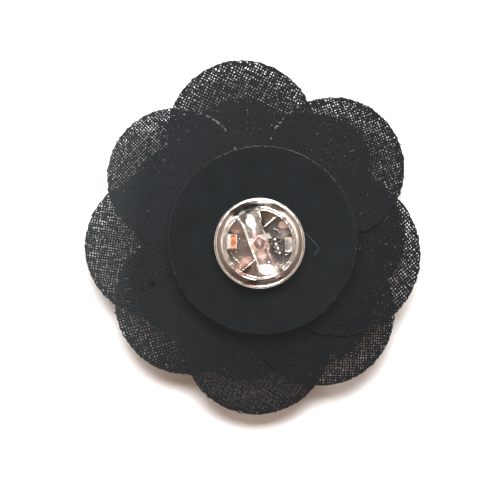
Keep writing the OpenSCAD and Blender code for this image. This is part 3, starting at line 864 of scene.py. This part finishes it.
def bud():
    """A strip of woven cloth, cut flat and rolled up."""
    bud_r = BUD_D / 2
    pitch = CLOTH_T + BUD_TURN_GAP
    inner = CLOTH_T / 2 + BUD_TURN_GAP
    sweep = 360 * (bud_r - CLOTH_T / 2 - inner) / pitch
    half = SPREAD[FRONT] * layer(FRONT, bud_r) + CLOTH_T * upright(FRONT, bud_r) / 2
    top = front_z - droop(FRONT, bud_r) - half - SEAT_GAP
    angle_at = np.linspace(0, sweep, SPIRAL_POINTS)
    r_at = inner + pitch * angle_at / 360
    pieces = np.radians(np.diff(angle_at)) * (r_at[:-1] + r_at[1:]) / 2
    length_at = np.concatenate([[0], np.cumsum(pieces)])
    total = length_at[-1]

    def spiral(distance):
        """Angle and radius of the roll at a distance along the strip."""
        angle = np.interp(distance, length_at, angle_at)
        return angle, inner + pitch * angle / 360

    def flat(xy):
        return np.zeros(len(xy))

    def rolled(points):
        along = np.clip(points[:, 0], BUD_END, total - BUD_END)
        down = np.clip(points[:, 1], BUD_SIDE, BUD_H - BUD_SIDE)
        angle, r = spiral(along)
        r = (r + points[:, 2]) * (1 + BUD_FLARE * down / BUD_H)
        angle = np.radians(angle)
        return np.column_stack([FLOWER_X + r * np.cos(angle), FLOWER_Y + r * np.sin(angle), top - down])

    strip = np.linspace(BUD_CUT, total - BUD_CUT, STRIP_POINTS)
    low_side = [(s, BUD_H * (1 - BUD_FALL * (spiral(s)[1] / bud_r) ** 2)) for s in strip]
    shape = np.array([(total - BUD_CUT, BUD_CUT), (BUD_CUT, BUD_CUT)] + low_side)
    obj = woven_sheet("rolled_bud_weave", shape, BUD_GRAIN, flat, inner_cloth, 1, wide=BUD_THREADS)
    move_points(obj, rolled)
    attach(obj, "flower")
    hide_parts("rolled_bud")


bud()

# metal and glue

PLATE, WHITE = (0.82, 0.785, 0.75), (0.98, 0.96, 0.94)
DARK, BROWN, PINK = (0.09, 0.083, 0.078), (0.25, 0.225, 0.205), (0.60, 0.42, 0.37)
ORANGE, COPPER, ROSE = (0.60, 0.22, 0.12), (0.30, 0.195, 0.16), (0.50, 0.32, 0.27)
DIM, RING, BLACK = (0.15, 0.118, 0.10), (0.56, 0.495, 0.455), (0.018, 0.017, 0.015)
TAN, PALE, LIGHT = (0.42, 0.3, 0.265), (0.66, 0.62, 0.56), (0.6, 0.58, 0.55)
STEEL_AND_WARM_REFLECTION, WIRE = (0.66, 0.49, 0.45), (0.85, 0.80, 0.76)

# painted reflections, highlights and shade, seen from the back: the white and pale places are painted
# highlights, the dark ones painted shade, and the warm ones painted warm reflections. x, y, half width, half
# height, turn, softness, colour
PAN_PAINTED_LIGHT = (
    (-1.2, 4.55, 2.6, 0.55, 14, 0.3, DARK),
    (-1.8, 4.12, 1.75, 0.36, 21, 0.25, BLACK),
    (1.9, 4.6, 1.5, 0.35, -24, 0.3, DIM),
    (0.2, 5.45, 3.6, 0.42, -2, 0.2, WHITE),
    (0.7, -4.75, 2.8, 0.4, 6, 0.3, DIM),
    (-2.5, -0.9, 1.7, 3.4, 20, 0.2, DIM),
    (2.3, 0.6, 1.8, 3.4, 20, 0.2, DARK),
    (-2.1, 3.3, 0.42, 1.2, 20, 0.3, DARK),
    (-1.12, 2.75, 0.55, 0.85, 15, 0.2, WHITE),
    (-0.72, 1.5, 0.2, 1.2, 18, 0.3, WHITE),
    (-0.05, 0.2, 0.45, 0.75, 15, 0.35, PINK),
    (0.95, -3.3, 1.4, 0.62, -8, 0.2, WHITE),
    (0.0, -0.6, 0.5, 1.9, 18, 0.35, PINK),
    (-1.6, -2.7, 1.1, 0.9, 25, 0.4, ROSE),
    (-3.0, 1.8, 0.6, 0.55, 0, 0.4, COPPER),
    (3.0, 2.3, 0.65, 0.45, 0, 0.3, PINK),
    (3.1, 1.2, 0.6, 0.6, 0, 0.5, BROWN),
    (2.2, -0.4, 0.28, 0.62, 8, 0.3, PALE),
    (0.9, 1.0, 0.35, 0.3, 0, 0.5, LIGHT),
)
# painted warm reflection between the wings, over the jaws
JAW_PAINTED_REFLECTION = (0.05, -0.4, 1.0, 1.5, 20, 0.3, PINK)
LEFT_PAINTED_LIGHT = (
    JAW_PAINTED_REFLECTION,
    (-3.3, 1.35, 0.6, 0.3, 0, 0.4, BROWN),
    (-3.3, -0.7, 0.6, 0.3, 0, 0.4, COPPER),
    (-3.3, 0.25, 0.36, 0.95, 0, 0.3, ORANGE),
    (-2.6, -3.4, 1.6, 0.9, 20, 0.3, COPPER),
)
RIGHT_PAINTED_LIGHT = (
    JAW_PAINTED_REFLECTION,
    (0.2, 2.6, 0.4, 1.5, 10, 0.3, BROWN),
    (1.35, -1.3, 0.45, 1.9, 17, 0.3, TAN),
    (3.3, -0.3, 0.7, 0.7, 0, 0.4, BROWN),
    (3.6, 0.85, 0.7, 0.22, 0, 0.4, PINK),
)
# radii from and to, colour, roughness: painted shade on the pan's floor and in its shaded ring, and in the
# gap beside the wings' lip
PAN_SHADE_RINGS = ((0, 4.3, BROWN, 0.16), (4.3, 5.4, RING, 0.42))
LIP_SHADE_RINGS = ((4.31, 4.49, BROWN, 0.2),)
PLATE_ROUGH, PLATE_WORN = 0.10, 0.14

materials = {
    "clutch_pan": nickel_material("nickel_plate", PLATE, PLATE_ROUGH, PLATE_WORN, PAN_PAINTED_LIGHT, PAN_SHADE_RINGS),
    "wing_left": nickel_material("nickel_left", PLATE, PLATE_ROUGH, PLATE_WORN, LEFT_PAINTED_LIGHT, LIP_SHADE_RINGS),
    "wing_right": nickel_material("nickel_right", PLATE, PLATE_ROUGH, PLATE_WORN, RIGHT_PAINTED_LIGHT, LIP_SHADE_RINGS),
    # the post's tint is steel with a painted warm reflection, toned to match the painted band round it
    "pin_post": nickel_material("steel_post", STEEL_AND_WARM_REFLECTION, rough=0.62, wear_and_tip_light=0.1),
    "petal_core": glue_material(),
}
for name, material in materials.items():
    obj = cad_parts[name]
    obj.data.materials.clear()
    obj.data.materials.append(material)

# spring and pressed ridges of the clutch, with sizes as in the CAD source

CLUTCH_Z, PAN_H, RIM_D, WIRE_D, COIL_D = 1.8, 1.5, 0.5, 0.36, 1.3
SHEET_T, RIGHT_WALL_X, SPRING_GAP, FIXED_GAP = 0.3, 0.8, 0.2, 0.1
SPRING_TURNS, SLOT_ANGLE = 3.5, 20
PLATE_TOP = CLUTCH_Z + PAN_H - RIM_D / 4
# the coil's rise a turn, in wire diameters, its points a turn, and where the points of its feet lie
COIL_RISE, TURN_POINTS = 1.7, 28
FOOT_SHARES = (0, 0.3, 0.6, 0.9)
# the share of its radius that a wire's rounded ends keep, and a way that no wire runs along
WIRE_END, WIRE_SIDE = 0.55, (0.13, 0.21, 0.97)
SPRING_SIDES, RIDGE_SIDES = 14, 10
RIDGE_R, RIDGE_UP = 0.08, 0.02
# ridges pressed into the pan's floor inside the wings, as points in x and y
RIDGES = (
    ((-3.6, -1.1), (-3.1, -1.9), (-2.45, -2.6)),
    ((-2.5, 0.7), (-2.72, 0.0), (-2.45, -0.9)),
    ((-3.25, -1.32), (-2.86, -1.05)),
    ((1.6, 1.98), (2.26, 1.66), (2.67, 1.02)),
    ((2.08, 0.3), (2.25, -0.3), (2.42, -0.8)),
    ((2.9, -1.35), (3.4, -1.45), (3.75, -1.1)),
    ((0.62, -1.75), (0.9, -2.3), (1.45, -2.42)),
)


def round_wire(name, route, radius, sides):
    """A wire with round ends along a list of points."""
    ahead = unit(np.gradient(route, axis=0))
    side = unit(np.cross(ahead, WIRE_SIDE))
    up = np.cross(side, ahead)
    angle = np.linspace(0, 2 * math.pi, sides, endpoint=False)
    around = side[:, None] * np.cos(angle)[None, :, None] + up[:, None] * np.sin(angle)[None, :, None]
    share = np.ones(len(route))
    share[0] = share[-1] = WIRE_END
    points = (route[:, None] + around * radius * share[:, None, None]).reshape(-1, 3)
    here = sides * np.arange(len(route) - 1)[:, None]
    corner = np.arange(sides)[None, :]
    beside = (corner + 1) % sides
    quads = np.stack([here + corner, here + beside, here + sides + beside, here + sides + corner], axis=-1)
    last = sides * (len(route) - 1)
    faces = [tuple(q) for q in quads.reshape(-1, 4)]
    faces.append(tuple(range(sides - 1, -1, -1)))
    faces.append(tuple(range(last, last + sides)))
    return new_mesh(name, points, faces)


def spring_route():
    """The coil's axis runs along the slot, and both its ends go down to the pan's floor."""
    coil_r = (COIL_D - WIRE_D) / 2
    x = RIGHT_WALL_X + SHEET_T + SPRING_GAP + COIL_D / 2
    z = PLATE_TOP + COIL_D
    a = np.linspace(0, 2 * math.pi * SPRING_TURNS, int(SPRING_TURNS * TURN_POINTS) + 1)
    y = WIRE_D * COIL_RISE * (a / (2 * math.pi) - SPRING_TURNS)
    coil = np.column_stack([x + coil_r * np.cos(a), y, z + coil_r * np.sin(a)])
    foot_z = CLUTCH_Z + SHEET_T + FIXED_GAP

    def foot(end):
        return [(end[0], end[1], foot_z + (z - foot_z) * share) for share in FOOT_SHARES]

    return turned(np.concatenate([foot(coil[0]), coil, foot(coil[-1])[::-1]]), SLOT_ANGLE)


wire_nickel = nickel_material("nickel_wire", WIRE, rough=0.08, wear_and_tip_light=0.1)
spring = round_wire("coil_spring", spring_route(), WIRE_D / 2, SPRING_SIDES)
spring.data.materials.append(wire_nickel)
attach(spring, "clutch")
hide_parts("clutch_spring")
for i, places in enumerate(RIDGES):
    route = smooth_route([(x, y, PLATE_TOP + RIDGE_UP) for x, y in places])
    ridge = round_wire(f"pan_ridge_{i + 1}", route, RIDGE_R, RIDGE_SIDES)
    ridge.data.materials.append(wire_nickel)
    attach(ridge, "clutch")

# floor, light and world

FLOOR_HALF = 600
floor_corners = [(x * FLOOR_HALF, y * FLOOR_HALF, FLOOR_Z) for x, y in ((-1, -1), (1, -1), (1, 1), (-1, 1))]
floor = new_mesh("floor", floor_corners, [(0, 1, 2, 3)], smooth=False)
floor.data.materials.append(plain_floor_material())

# name, place, width and height, power and colour. Each light faces the origin
LIGHTS = (
    ("key", (0, 138, 440), (200, 120), 4.0, (0.97, 0.99, 1.0)),
    ("overhead", (0, 0, 560), (300, 300), 0.20, (1.0, 0.95, 0.91)),
    ("window", (0, 480, 150), (300, 120), 1.1, (0.86, 0.95, 1.0)),
    ("warm", (-120, -330, 190), (160, 120), 0.09, (1.0, 0.6, 0.42)),
)
WORLD_COLOUR, WORLD_STRENGTH = (1.0, 0.62, 0.40, 1), 0.26
# the photograph's blacks are lifted by haze in the lens
HAZE = 0.0145


def area_light(name, place, size, power, colour):
    data = bpy.data.lights.new(name, "AREA")
    data.shape = "RECTANGLE"
    data.size, data.size_y = size[0] * MM, size[1] * MM
    data.energy = power
    data.color = colour
    obj = bpy.data.objects.new(name, data)
    obj.location = Vector(place) * MM
    obj.rotation_euler = (Vector() - obj.location).to_track_quat("-Z", "Y").to_euler()
    obj.visible_camera = False
    bpy.context.scene.collection.objects.link(obj)


for light in LIGHTS:
    area_light(*light)

world = bpy.data.worlds.new("world")
world.use_nodes = True
background = world.node_tree.nodes["Background"]
background.inputs["Color"].default_value = WORLD_COLOUR
background.inputs["Strength"].default_value = WORLD_STRENGTH
bpy.context.scene.world = world
view = bpy.context.scene.view_settings
view.view_transform = "Standard"
view.use_curve_mapping = True
view.curve_mapping.black_level = (-HAZE, -HAZE, -HAZE)
view.curve_mapping.update()
